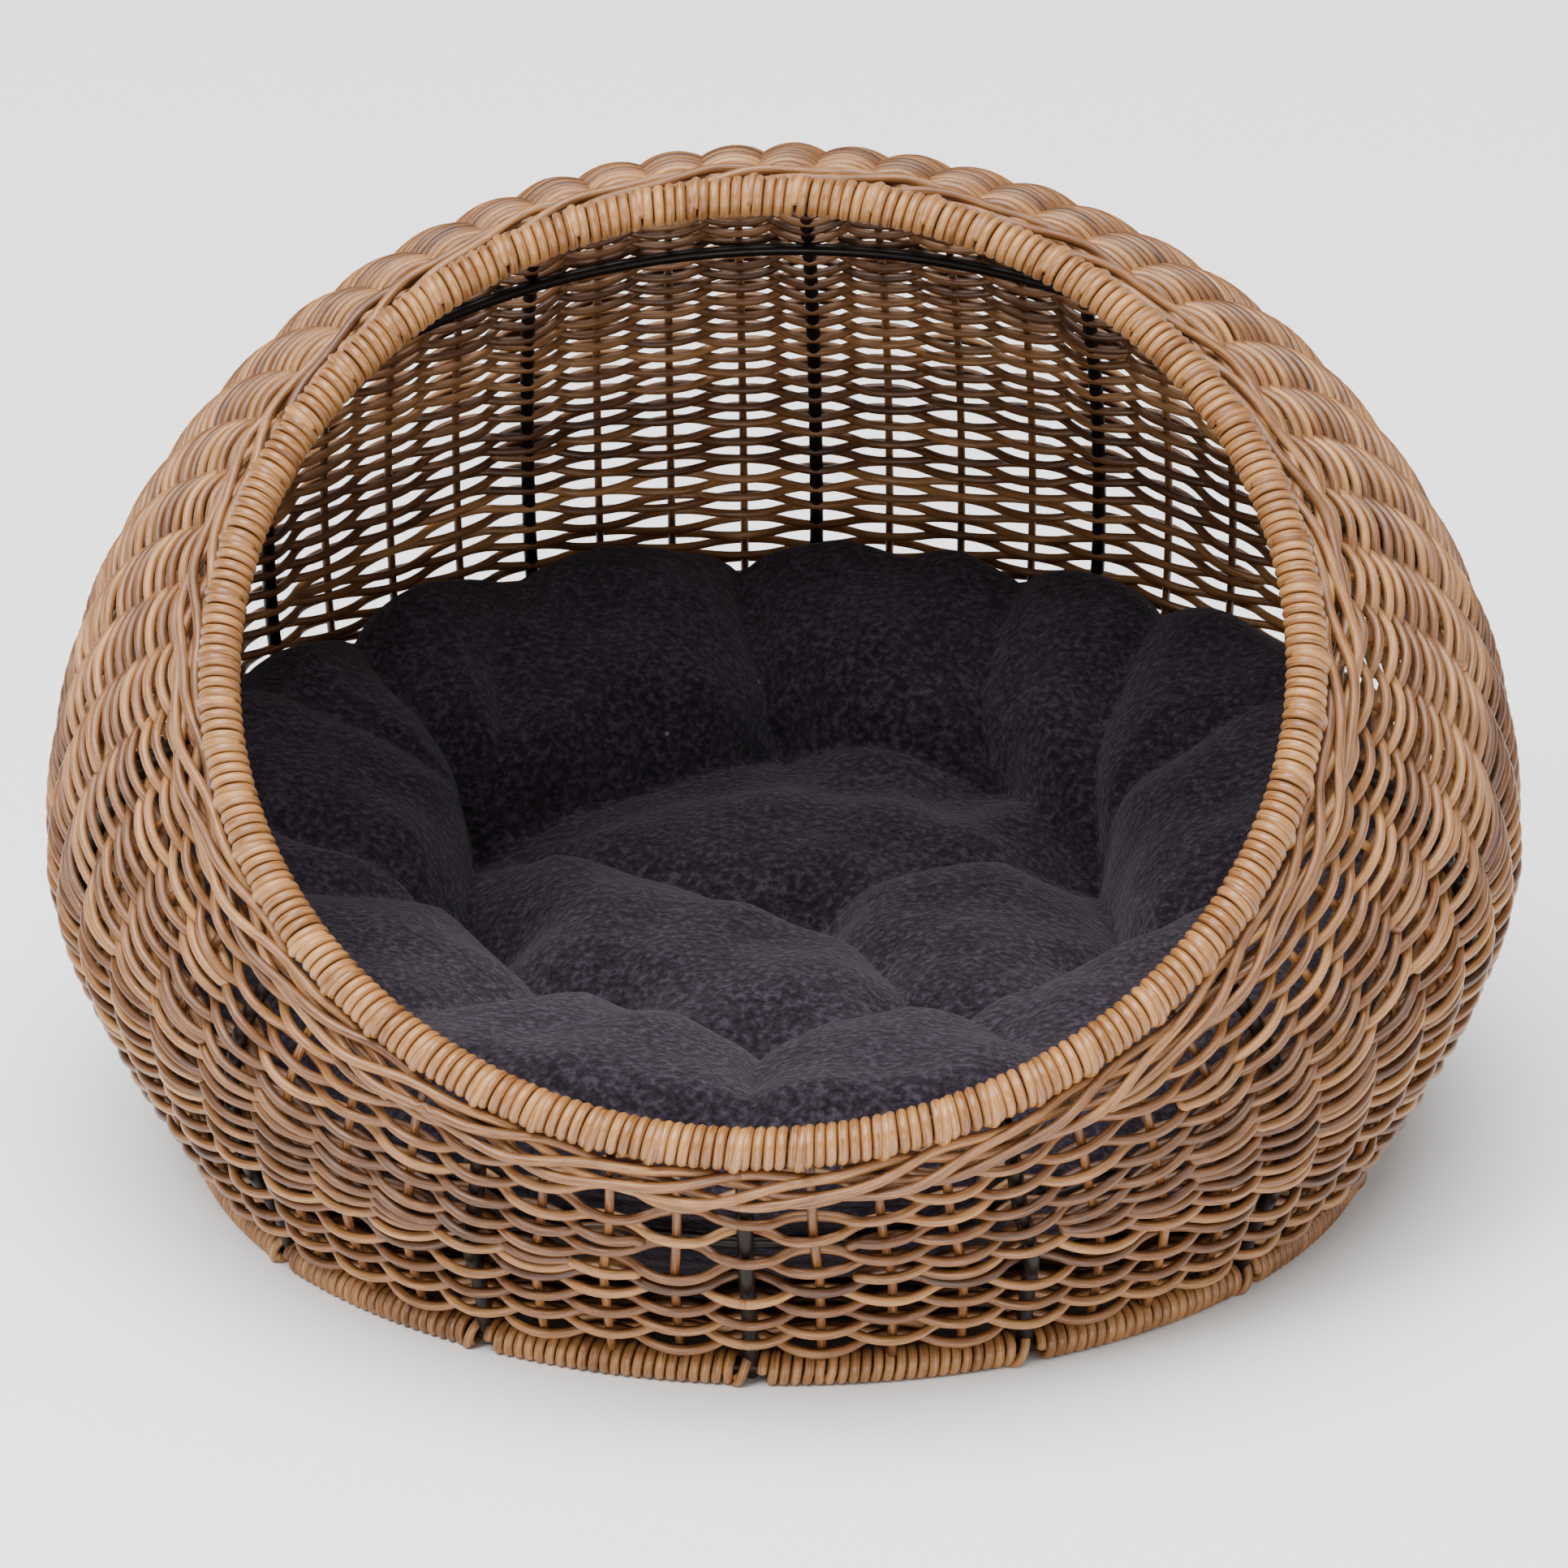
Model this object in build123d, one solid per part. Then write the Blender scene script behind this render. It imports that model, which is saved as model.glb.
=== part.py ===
"""Wicker pet bed basket: a steel frame, woven strands, wrapped rings and a loose cushion.

Millimetres, +Z up, opening towards -Y. The origin is under the middle of the
overall box, on the surface that the basket stands on.
"""
from build123d import *
import os
from math import atan2, cos, hypot, pi, radians, sin, sqrt, tan

# ---- driving dimensions of the woven body, from its widest level ----
body_radius = 290.0          # outside of the weave at the widest level
crown_height = 266.5         # widest level up to the top of the hood
root_height = 309.0          # scale height of the lower wall's curve
root_power = 1.44            # 2 would be an ellipse, less runs straighter
wall_drop = 120.0            # widest level down to the centre of the base ring

# ---- the opening ----
opening_slope = 45.7         # degrees between the opening's plane and the floor
opening_reach = 205.0        # body centre to the opening's plane

# ---- steel frame ----
base_ring_radius = 230.0
base_rod = 6.0               # diameters of the steel rods
opening_rod = 8.0
hoop_rod = 5.0
rib_rod = 6.0
bar_rod = 5.0
bend_share = 0.45            # of the shorter run beside a bend that its arc takes up
rib_count = 14
stakes_per_bay = 3
hoop_slope = 27.6            # degrees, between the base and the opening
hoop_front_drop = 56.0       # below the widest level, where the hoop meets the front wall
bar_rib_steps = (3, 4)       # the crosswise bars run between these ribs, left and right

# ---- wicker ----
stake_size = 3.6
skin = 3.8                   # the strands' layer outside the stakes
stake_inset = 6.0            # outside of the weave to the stakes' centre lines
rib_inset = 7.0
rib_foot_inset = 10.0        # the ribs stand further in where they leave the base ring
hoop_inset = 15.5
base_wrap_size = 13.0
opening_wrap_size = 16.0
wrap_gap = 14.0              # left open in a wrap where a rib is welded on
wrap_slack = 0.6             # between a ring and the strand wound around it
weld_gap = 0.3               # left between a rod's end and the ring that it is welded to
border_size = 8.8
border_step = 13.0           # opening's centre line down to the border's, along the weave
border_proud = 2.6           # the border's centre line stands outside the weave
full_rows_top = 50.0         # the level rows end this far above the base ring's centre
hinge_drop = 12.0            # the hood's first row dips this far below them at the front
weave_foot = 8.0             # base ring's centre up to the first row
weave_end = 191.0            # body centre to the plane where the rows end, below the border
stake_end = 175.0            # body centre to the row plane where the front stakes end
stake_end_rise = 7.0         # half of how much further the back ones go
front_gather = 0.10          # how far the stakes close up at the front, and spread behind
side_spread = 0.05

# ---- floor panel and cushion ----
foot_flat = 0.5              # the base wrap is pressed flat by this much
floor_radius = 222.0
floor_thickness = 7.0
floor_level = 11.5
cushion_clearance = 0.5
cushion_radius = 264.0
cushion_foot_radius = 205.0
cushion_height = 135.0
cushion_dish = 55.0          # depth of the hollow that the pet lies in
cushion_wall_width = 49.0
cushion_dish_radius = 100.0
cushion_front_drop = 24.0    # the raised wall is this much lower at the front
cover_thickness = 2.0
cover_gap = 0.3

# ---- levels that follow from these ----
base_level = base_wrap_size / 2 - foot_flat
waist_level = base_level + wall_drop
slope = radians(opening_slope)
opening_normal = Vector(0, -sin(slope), cos(slope))
opening_uphill = Vector(0, cos(slope), sin(slope))
front_overhang = opening_wrap_size / 2
body_axis_y = front_overhang / 2
bay_angle = 2 * pi / rib_count


def place(point):
    """Moves a point from the body's own centre to the part's frame."""
    return point + Vector(0, body_axis_y, waist_level)


def wall_radius(height, inset=0.0):
    """Radius of the body at a height over its widest level."""
    if height >= 0:
        share = min(height / (crown_height - inset), 1.0)
        return (body_radius - inset) * sqrt(1 - share**2)
    share = -height / (root_height - inset)
    return (body_radius - inset) * (1 - share**root_power) ** (1 / root_power)


def wall_value(point, inset):
    """1 on the body's surface, less inside it."""
    power = 2.0 if point.Z >= 0 else root_power
    tall = (crown_height if point.Z >= 0 else root_height) - inset
    around = hypot(point.X, point.Y) / (body_radius - inset)
    return around**power + (abs(point.Z) / tall) ** power


def row_plane(reach):
    """Normal, uphill direction and middle of the row at a reach from the body's centre."""
    level_reach = full_rows_top - wall_drop
    share = max(0.0, (reach - level_reach) / (opening_reach - level_reach))
    lean = slope * share
    normal = Vector(0, -sin(lean), cos(lean))
    return normal, Vector(0, cos(lean), sin(lean)), normal * reach


def on_wall(turn, reach, inset):
    """The place of a stake on a row. turn is 0 at the front."""
    normal, uphill, middle = row_plane(reach)
    share = (reach + wall_drop) / (opening_reach + wall_drop)
    swell = 4 * share * (1 - share)
    aim = turn - swell * (front_gather * sin(turn) + side_spread * sin(2 * turn))
    ray = Vector(sin(aim), 0, 0) - uphill * cos(aim)
    near, far = 0.0, 2 * body_radius
    for _ in range(40):
        half = (near + far) / 2
        if wall_value(middle + ray * half, inset) < 1:
            near = half
        else:
            far = half
    return middle + ray * near


def rod_along(points, size):
    """A round rod bent at points, with each bend as large as its two runs allow."""
    placed = [place(p) for p in points]
    runs = [b - a for a, b in zip(placed, placed[1:])]
    bends = []
    for run, following in zip(runs, runs[1:]):
        turn = radians(run.get_angle(following))
        bends.append(bend_share * min(run.length, following.length) / tan(turn / 2))
    path = FilletPolyline(*placed, radius=bends)
    return sweep(Plane(path @ 0, z_dir=path % 0) * Circle(size / 2), path=path)


def weld_point(ring_point, towards, rod):
    """Where a rod that comes from a point meets a ring's surface."""
    return ring_point + (towards - ring_point).normalized() * (rod / 2 + weld_gap)


def opening_ellipse(reach, inset):
    """Centre and half sizes of the cut that a plane beside the opening makes in the hood."""
    wide = body_radius - inset
    tall = crown_height - inset
    lean_sin, lean_cos = sin(slope), cos(slope)
    steep = lean_cos**2 / wide**2 + lean_sin**2 / tall**2
    shift = -lean_sin * lean_cos * reach * (1 / tall**2 - 1 / wide**2) / steep
    rest = 1 - reach**2 * (lean_sin**2 / wide**2 + lean_cos**2 / tall**2) + steep * shift**2
    centre = opening_normal * reach + opening_uphill * shift
    return centre, wide * sqrt(rest), sqrt(rest / steep)


def ring_plane(centre, normal):
    return Plane(place(centre), x_dir=(1, 0, 0), z_dir=normal)


def ring_rod(centre, normal, half_width, half_height, size):
    """A closed rod around an oval of four arcs, which meet at 45 degrees."""
    shift = (half_width - half_height) / (2 - sqrt(2))
    small, large = half_width - shift, half_height + shift
    arcs = []
    for start, radius, at in (
        (-45, small, (shift, 0)),
        (45, large, (0, -shift)),
        (135, small, (-shift, 0)),
        (225, large, (0, shift)),
    ):
        arcs.append(CenterArc(at, radius, start, 90))
    path = ring_plane(centre, normal) * Wire([arc.edge() for arc in arcs])
    return sweep(Plane(path @ 0, z_dir=path % 0) * Circle(size / 2), path=path)


def wrap_arcs(centre, normal, half_width, half_height, rod, size, welds):
    """The wrapped strand between each two welds, as short lengths of hollow tube."""
    plane = ring_plane(centre, normal)
    gap = wrap_gap / (half_width + half_height)
    lengths = []
    for weld, next_weld in zip(welds, welds[1:]):
        start, end = weld + gap, next_weld - gap
        turns = (start, (start + end) / 2, end)
        path = plane * ThreePointArc(
            *[(half_width * sin(t), -half_height * cos(t)) for t in turns]
        )
        section = Circle(size / 2) - Circle(rod / 2 + wrap_slack)
        lengths.append(sweep(Plane(path @ 0, z_dir=path % 0) * section, path=path))
    return lengths


def weave_skin():
    """The outer layer of the whole weave as one turned shell, before it is cut into its stages."""
    foot = weave_foot - wall_drop
    shift = (body_radius - crown_height) / (2 - sqrt(2))

    def side(inset):
        levels = [foot * i / 6 for i in range(6, -1, -1)]
        points = [(wall_radius(z, inset), 0, z) for z in levels]
        lower = [ThreePointArc(*points[i : i + 3]) for i in (0, 2, 4)]
        flank = Plane.XZ * CenterArc((shift, 0), body_radius - shift - inset, 0, 45)
        crown = Plane.XZ * CenterArc((0, -shift), crown_height + shift - inset, 45, 45)
        return *lower, flank, crown

    outer = side(0)
    inner = side(skin)
    top = Line((0, 0, crown_height - skin), (0, 0, crown_height))
    bottom = Line(outer[0] @ 0, inner[0] @ 0)
    face = make_face([*outer, top, *inner, bottom])
    turned = revolve(face, axis=Axis.Z)
    return Pos(0, body_axis_y, waist_level) * turned


def build_weave():
    shell = weave_skin()
    level = Plane(place(Vector(0, 0, full_rows_top - wall_drop)), z_dir=(0, 0, 1))
    hinge_level = full_rows_top - wall_drop - hinge_drop
    hinge = Vector(0, -wall_radius(hinge_level), hinge_level)
    lean = Plane(place(hinge), z_dir=opening_normal)
    finish = Plane(place(opening_normal * weave_end), z_dir=opening_normal)
    lower = split(shell, bisect_by=level, keep=Keep.BOTTOM)
    upper = split(shell, bisect_by=level, keep=Keep.TOP)
    back = split(upper, bisect_by=lean, keep=Keep.BOTTOM)
    hood = split(split(upper, bisect_by=lean, keep=Keep.TOP), bisect_by=finish, keep=Keep.BOTTOM)
    return {"lower_weave": lower, "back_weave": back, "hood_weave": hood}


def build_frame():
    """The steel: three rings, the bars under the floor and the ribs."""
    up = Vector(0, 0, 1)
    foot = Vector(0, 0, -wall_drop)
    base_ring = ring_plane(foot, up) * Torus(base_ring_radius, base_rod / 2)
    centre, half_width, half_height = opening_ellipse(opening_reach, 0)
    opening_ring = ring_rod(centre, opening_normal, half_width, half_height, opening_rod)

    lean = radians(hoop_slope)
    hoop_normal = Vector(0, -sin(lean), cos(lean))
    front = Vector(0, -wall_radius(-hoop_front_drop, hoop_inset), -hoop_front_drop)
    uphill = Vector(0, cos(lean), sin(lean))
    near, far = body_radius, 2 * body_radius
    for _ in range(40):
        half = (near + far) / 2
        inside = wall_value(front + uphill * half, hoop_inset) < 1
        near, far = (half, far) if inside else (near, half)
    middle = front + uphill * (near / 2)
    reach_across = sqrt(wall_radius(middle.Z, hoop_inset) ** 2 - middle.Y**2)
    middle_hoop = ring_rod(middle, hoop_normal, reach_across, near / 2, hoop_rod)

    frame = {
        "base_ring": base_ring,
        "opening_ring": opening_ring,
        "middle_hoop": middle_hoop,
    }
    half_length = base_ring_radius
    low = place(foot) + Vector(0, 0, -bar_rod / 2)
    long_bar = Cylinder(bar_rod / 2, 2 * half_length, rotation=(90, 0, 0))
    frame["floor_bar_long"] = Pos(low.X, low.Y, low.Z) * long_bar - base_ring
    for name, step in zip(("floor_bar_front", "floor_bar_back"), bar_rib_steps):
        turn = step * bay_angle
        half_length = base_ring_radius * sin(turn)
        high = place(foot + Vector(0, -base_ring_radius * cos(turn), bar_rod / 2 + 0.1))
        bar = Cylinder(bar_rod / 2, 2 * half_length, rotation=(0, 90, 0))
        frame[name] = Pos(high.X, high.Y, high.Z) * bar - base_ring

    reaches = [-100, -65, -25, 20, 65, 110, 150, 180, 196]
    for rib in range(rib_count):
        turn = rib * bay_angle
        around = Vector(sin(turn), -cos(turn), 0) * base_ring_radius
        points = [on_wall(turn, reach, rib_inset) for reach in reaches]
        points[0] = on_wall(turn, reaches[0], rib_foot_inset)
        points.insert(0, weld_point(foot + around, points[0], base_rod))
        points.append(weld_point(on_wall(turn, opening_reach, 0), points[-1], opening_rod))
        frame[f"frame_rib_{rib + 1:02d}"] = rod_along(points, rib_rod)
    return frame


def build_stakes():
    """The wicker stakes, three to each bay between two ribs."""
    foot_reach = weave_foot + 1 - wall_drop
    bays = {}
    for bay in range(rib_count):
        rods = []
        for step in range(1, stakes_per_bay + 1):
            turn = (bay + step / (stakes_per_bay + 1)) * bay_angle
            end_reach = stake_end + stake_end_rise * (1 - cos(turn))
            reaches = [foot_reach + (end_reach - foot_reach) * i / 7 for i in range(8)]
            points = [on_wall(turn, reach, stake_inset) for reach in reaches]
            rods.append(rod_along(points, stake_size))
        bays[f"stakes_bay_{bay + 1:02d}"] = Compound(children=rods)
    return bays


def build_wraps():
    up = Vector(0, 0, 1)
    foot = Vector(0, 0, -wall_drop)
    ring = base_ring_radius
    welds = [rib * bay_angle for rib in range(rib_count + 1)]
    base = wrap_arcs(foot, up, ring, ring, base_rod, base_wrap_size, welds)
    ground = Plane.XY
    base = [split(length, bisect_by=ground, keep=Keep.TOP) for length in base]
    centre, half_width, half_height = opening_ellipse(opening_reach, 0)
    welds = []
    for rib in range(rib_count):
        arm = on_wall(rib * bay_angle, opening_reach, 0) - centre
        weld = atan2(arm.X / half_width, -arm.dot(opening_uphill) / half_height)
        welds.append(weld % (2 * pi))
    welds.append(2 * pi)
    rim = wrap_arcs(
        centre, opening_normal, half_width, half_height, opening_rod, opening_wrap_size, welds
    )
    drop = border_step / sqrt(2)
    centre, half_width, half_height = opening_ellipse(opening_reach - drop, -border_proud)
    border = ring_rod(centre, opening_normal, half_width, half_height, border_size)
    return {
        "base_wrap": Compound(children=base),
        "rim_wrap": Compound(children=rim),
        "border_braid": border,
    }


def build_floor():
    panel = Cylinder(floor_radius, floor_thickness, align=(Align.CENTER, Align.CENTER, Align.MIN))
    return {"floor_weave": Pos(0, body_axis_y, floor_level) * fillet(panel.edges(), 2)}


def build_cushion():
    """The cover is a closed hollow skin and the filling is the solid in it."""
    foot = floor_level + floor_thickness + cushion_clearance
    top = foot + cushion_height
    shoulder = foot + 0.56 * cushion_height
    dish = top - cushion_dish
    crest = cushion_radius - cushion_wall_width
    corners = [
        (0, foot),
        (cushion_foot_radius, foot),
        (cushion_radius, shoulder),
        (cushion_radius, top),
        (crest, top),
        (cushion_dish_radius, dish),
        (0, dish),
    ]
    outline = make_face(Polyline(corners, close=True))

    def rounded(face, radius_list):
        for place_at, radius in radius_list:
            corner = face.vertices().sort_by_distance((place_at[0], place_at[1], 0))[0]
            face = fillet(corner, radius)
        return face

    rounds = [(corners[1], 28), (corners[2], 45), (corners[3], 22), (corners[4], 22), (corners[5], 60)]
    outline = rounded(outline, rounds)
    inner = offset(outline, -cover_thickness)
    core = offset(outline, -cover_thickness - cover_gap)
    half_plane = Pos(cushion_radius, foot) * Rectangle(2 * cushion_radius, 4 * cushion_height)
    fall = cushion_front_drop / (2 * crest)
    edge = Plane((0, 0, top - cushion_front_drop / 2), z_dir=(0, -fall, 1))

    def turned(face, lower=0.0):
        whole = revolve(Plane.XZ * (face & half_plane), axis=Axis.Z)
        cut = edge.offset(-lower)
        return Pos(0, body_axis_y, 0) * split(whole, bisect_by=cut, keep=Keep.BOTTOM)

    return {
        "cushion_cover": turned(outline) - turned(inner, cover_thickness),
        "cushion_filling": turned(core, cover_thickness + cover_gap),
    }


def build_all():
    parts = {}
    parts.update(build_frame())
    parts.update(build_stakes())
    parts.update(build_weave())
    parts.update(build_wraps())
    parts.update(build_floor())
    parts.update(build_cushion())
    return parts


os.makedirs("parts", exist_ok=True)
for name, shape in build_all().items():
    shape.label = name
    export_step(shape, f"parts/{name}.step")
    box = shape.bounding_box()
    print(name, round(shape.volume), [round(v, 1) for v in (*box.min, *box.max)])
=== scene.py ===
import bpy
import numpy as np
from math import cos, pi, radians, sin, sqrt
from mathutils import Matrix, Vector


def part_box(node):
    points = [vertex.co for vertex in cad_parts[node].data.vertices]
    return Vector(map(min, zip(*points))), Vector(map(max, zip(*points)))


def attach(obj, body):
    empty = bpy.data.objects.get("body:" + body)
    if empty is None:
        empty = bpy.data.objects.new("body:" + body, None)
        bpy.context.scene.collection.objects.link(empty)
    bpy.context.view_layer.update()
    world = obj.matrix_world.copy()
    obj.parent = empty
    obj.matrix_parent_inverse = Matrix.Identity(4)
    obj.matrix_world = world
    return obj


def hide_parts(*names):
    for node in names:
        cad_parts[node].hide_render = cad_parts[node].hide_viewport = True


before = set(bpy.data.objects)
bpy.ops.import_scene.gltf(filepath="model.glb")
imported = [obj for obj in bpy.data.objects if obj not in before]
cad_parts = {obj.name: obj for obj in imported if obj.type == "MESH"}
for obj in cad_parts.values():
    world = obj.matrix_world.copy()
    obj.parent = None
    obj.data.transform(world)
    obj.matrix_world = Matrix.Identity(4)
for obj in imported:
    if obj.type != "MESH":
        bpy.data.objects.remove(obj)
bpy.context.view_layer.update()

print("frame loaded")

# The woven body, in metres. Its centre is the middle of its widest level.
body = {
    "radius": 0.290,
    "crown": 0.2665,               # centre to the top of the hood
    "root": 0.309,                 # scale height of the lower wall's curve
    "rootPower": 1.44,             # 2 would be an ellipse, less runs straighter
    "drop": 0.120,                 # centre down to the base ring
    "slope": radians(45.7),        # of the opening
    "openingReach": 0.205,         # centre to the opening's plane
    "levelTop": 0.050,             # base ring up to where the level rows end
    "ribs": 14,
    "perBay": 4,                   # stake places from one rib to the next
    "gather": 0.10,                # how far the stakes close up at the front
    "spread": 0.05,                # and at the sides
}
stakes = body["ribs"] * body["perBay"]
lowCorner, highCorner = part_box("base_ring")
ringMiddle = (np.array(lowCorner) + np.array(highCorner)) / 2
bodyCentre = ringMiddle + np.array([0, 0, body["drop"]])
openingNormal = np.array([0, -sin(body["slope"]), cos(body["slope"])])
openingUphill = np.array([0, cos(body["slope"]), sin(body["slope"])])
levelReach = body["levelTop"] - body["drop"]
rng = np.random.default_rng(7)


def unit(v):
    return v / np.maximum(np.linalg.norm(v, axis=-1, keepdims=True), 1e-12)


def wallValue(p, inset):
    # 1 on the wall, less inside it
    above = p[..., 2] >= 0
    power = np.where(above, 2.0, body["rootPower"])
    tall = np.where(above, body["crown"], body["root"]) - inset
    around = np.hypot(p[..., 0], p[..., 1]) / (body["radius"] - inset)
    return around ** power + (np.abs(p[..., 2]) / tall) ** power


def wallNormal(p, inset=0.006):
    step = 2e-4
    parts = []
    for axis in range(3):
        shift = np.zeros(3)
        shift[axis] = step
        parts.append(wallValue(p + shift, inset) - wallValue(p - shift, inset))
    n = np.stack(parts, -1)
    return n / np.linalg.norm(n, axis=-1, keepdims=True)


def onWall(turn, reach, inset):
    # where the stake at a turn crosses the row at a reach; turn is 0 at the front
    share = np.clip((reach - levelReach) / (body["openingReach"] - levelReach), 0, None)
    lean = body["slope"] * share
    flat = np.zeros_like(lean)
    normal = np.stack([flat, -np.sin(lean), np.cos(lean)], -1)
    uphill = np.stack([flat, np.cos(lean), np.sin(lean)], -1)
    climbed = (reach + body["drop"]) / (body["openingReach"] + body["drop"])
    swell = 4 * climbed * (1 - climbed)
    aim = turn - swell * (body["gather"] * np.sin(turn) + body["spread"] * np.sin(2 * turn))
    ray = np.stack([np.sin(aim), flat, flat], -1) - uphill * np.cos(aim)[..., None]
    middle = normal * reach[..., None]
    near = np.zeros_like(aim)
    far = np.full_like(aim, 2 * body["radius"])
    for _ in range(34):                        # halves the gap to well under a micron
        half = (near + far) / 2
        inside = wallValue(middle + ray * half[..., None], inset) < 1
        near = np.where(inside, half, near)
        far = np.where(inside, far, half)
    return middle + ray * near[..., None]


def openingCurve(turn, reach, inset):
    # the cut of a plane beside the opening through the hood
    wide = body["radius"] - inset
    tall = body["crown"] - inset
    s = sin(body["slope"])
    c = cos(body["slope"])
    steep = c ** 2 / wide ** 2 + s ** 2 / tall ** 2
    shift = -s * c * reach * (1 / tall ** 2 - 1 / wide ** 2) / steep
    rest = 1 - reach ** 2 * (s ** 2 / wide ** 2 + c ** 2 / tall ** 2) + steep * shift ** 2
    centre = openingNormal * reach + openingUphill * shift
    turn = np.asarray(turn)[..., None]
    across = np.array([1.0, 0, 0]) * wide * sqrt(rest) * np.sin(turn)
    return centre + across - openingUphill * sqrt(rest / steep) * np.cos(turn)


def meshFrom(name, points, faceGroups, values):
    # one smooth mesh; each value becomes a named attribute of its points
    mesh = bpy.data.meshes.new(name)
    loops = np.concatenate([group.reshape(-1) for group in faceGroups]).astype(np.int32)
    sizes = np.concatenate([np.full(len(group), group.shape[1]) for group in faceGroups]).astype(np.int32)
    starts = np.concatenate([[0], np.cumsum(sizes)[:-1]]).astype(np.int32)
    mesh.vertices.add(len(points))
    mesh.vertices.foreach_set("co", points.astype(np.float32).reshape(-1))
    mesh.loops.add(len(loops))
    mesh.loops.foreach_set("vertex_index", loops)
    mesh.polygons.add(len(sizes))
    mesh.polygons.foreach_set("loop_start", starts)
    mesh.polygons.foreach_set("loop_total", sizes)
    mesh.update(calc_edges=True)
    mesh.validate()
    mesh.polygons.foreach_set("use_smooth", np.ones(len(mesh.polygons), bool))
    for key, value in values.items():
        layer = mesh.attributes.new(key, "FLOAT", "POINT")
        layer.data.foreach_set("value", value.astype(np.float32))
    piece = bpy.data.objects.new(name, mesh)
    bpy.context.scene.collection.objects.link(piece)
    return piece


class Strands:
    # collects round strands as one mesh, with each strand's tone and the place along and around it
    def __init__(self):
        self.points = []
        self.faces = []
        self.along = []
        self.around = []
        self.tone = []
        self.count = 0

    def keep(self, points, along, around, tone):
        self.points.append(points)
        self.along.append(along)
        self.around.append(around)
        self.tone.append(np.full(len(points), tone))
        self.count += len(points)

    def add(self, line, outward, radius, closed=False, sides=8, tone=0.5, flat=1.0):
        line = np.asarray(line, float)
        if closed:
            before = np.roll(line, 1, 0)
            after = np.roll(line, -1, 0)
        else:
            before = np.vstack([2 * line[0] - line[1], line[:-1]])
            after = np.vstack([line[1:], 2 * line[-1] - line[-2]])
        tangent = unit(after - before)
        side = unit(np.cross(tangent, outward))
        up = np.cross(side, tangent)
        angles = np.arange(sides) * 2 * pi / sides
        across = side[:, None] * np.cos(angles)[None, :, None]
        ring = across + up[:, None] * np.sin(angles)[None, :, None] * flat
        n = len(line)
        along = np.concatenate([[0], np.cumsum(np.linalg.norm(np.diff(line, axis=0), axis=1))])
        first = self.count
        rows = np.arange(n if closed else n - 1)[:, None]
        nextRows = (rows + 1) % n
        columns = np.arange(sides)
        nextColumns = (columns + 1) % sides
        corners = [rows * sides + columns, rows * sides + nextColumns,
                   nextRows * sides + nextColumns, nextRows * sides + columns]
        self.faces.append(np.stack(corners, -1).reshape(-1, 4) + first)
        points = (line[:, None] + ring * radius).reshape(-1, 3)
        self.keep(points, np.repeat(along, sides), np.tile(angles, n), tone)
        if not closed:
            # rounded ends
            tips = np.stack([line[0] - tangent[0] * radius * 0.5, line[-1] + tangent[-1] * radius * 0.5])
            lowest = first + columns
            highest = first + (n - 1) * sides + columns
            tip = np.full(sides, self.count)
            self.faces.append(np.stack([lowest[nextColumns], lowest, tip], -1))
            self.faces.append(np.stack([highest, highest[nextColumns], tip + 1], -1))
            self.keep(tips, along[[0, -1]], np.zeros(2), tone)

    def build(self, name, middle=bodyCentre):
        values = {
            "along": np.concatenate(self.along),
            "tone": np.concatenate(self.tone),
            "around": np.concatenate(self.around),
        }
        return meshFrom(name, np.vstack(self.points) + middle, self.faces, values)


class Sock:
    # an output socket that can stand in an expression
    def __init__(self, kit, socket):
        self.kit = kit
        self.socket = socket

    def __add__(self, other):
        return self.kit.maths("ADD", self, other)

    def __radd__(self, other):
        return self.kit.maths("ADD", other, self)

    def __sub__(self, other):
        return self.kit.maths("SUBTRACT", self, other)

    def __rsub__(self, other):
        return self.kit.maths("SUBTRACT", other, self)

    def __mul__(self, other):
        return self.kit.maths("MULTIPLY", self, other)

    def __rmul__(self, other):
        return self.kit.maths("MULTIPLY", other, self)


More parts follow.
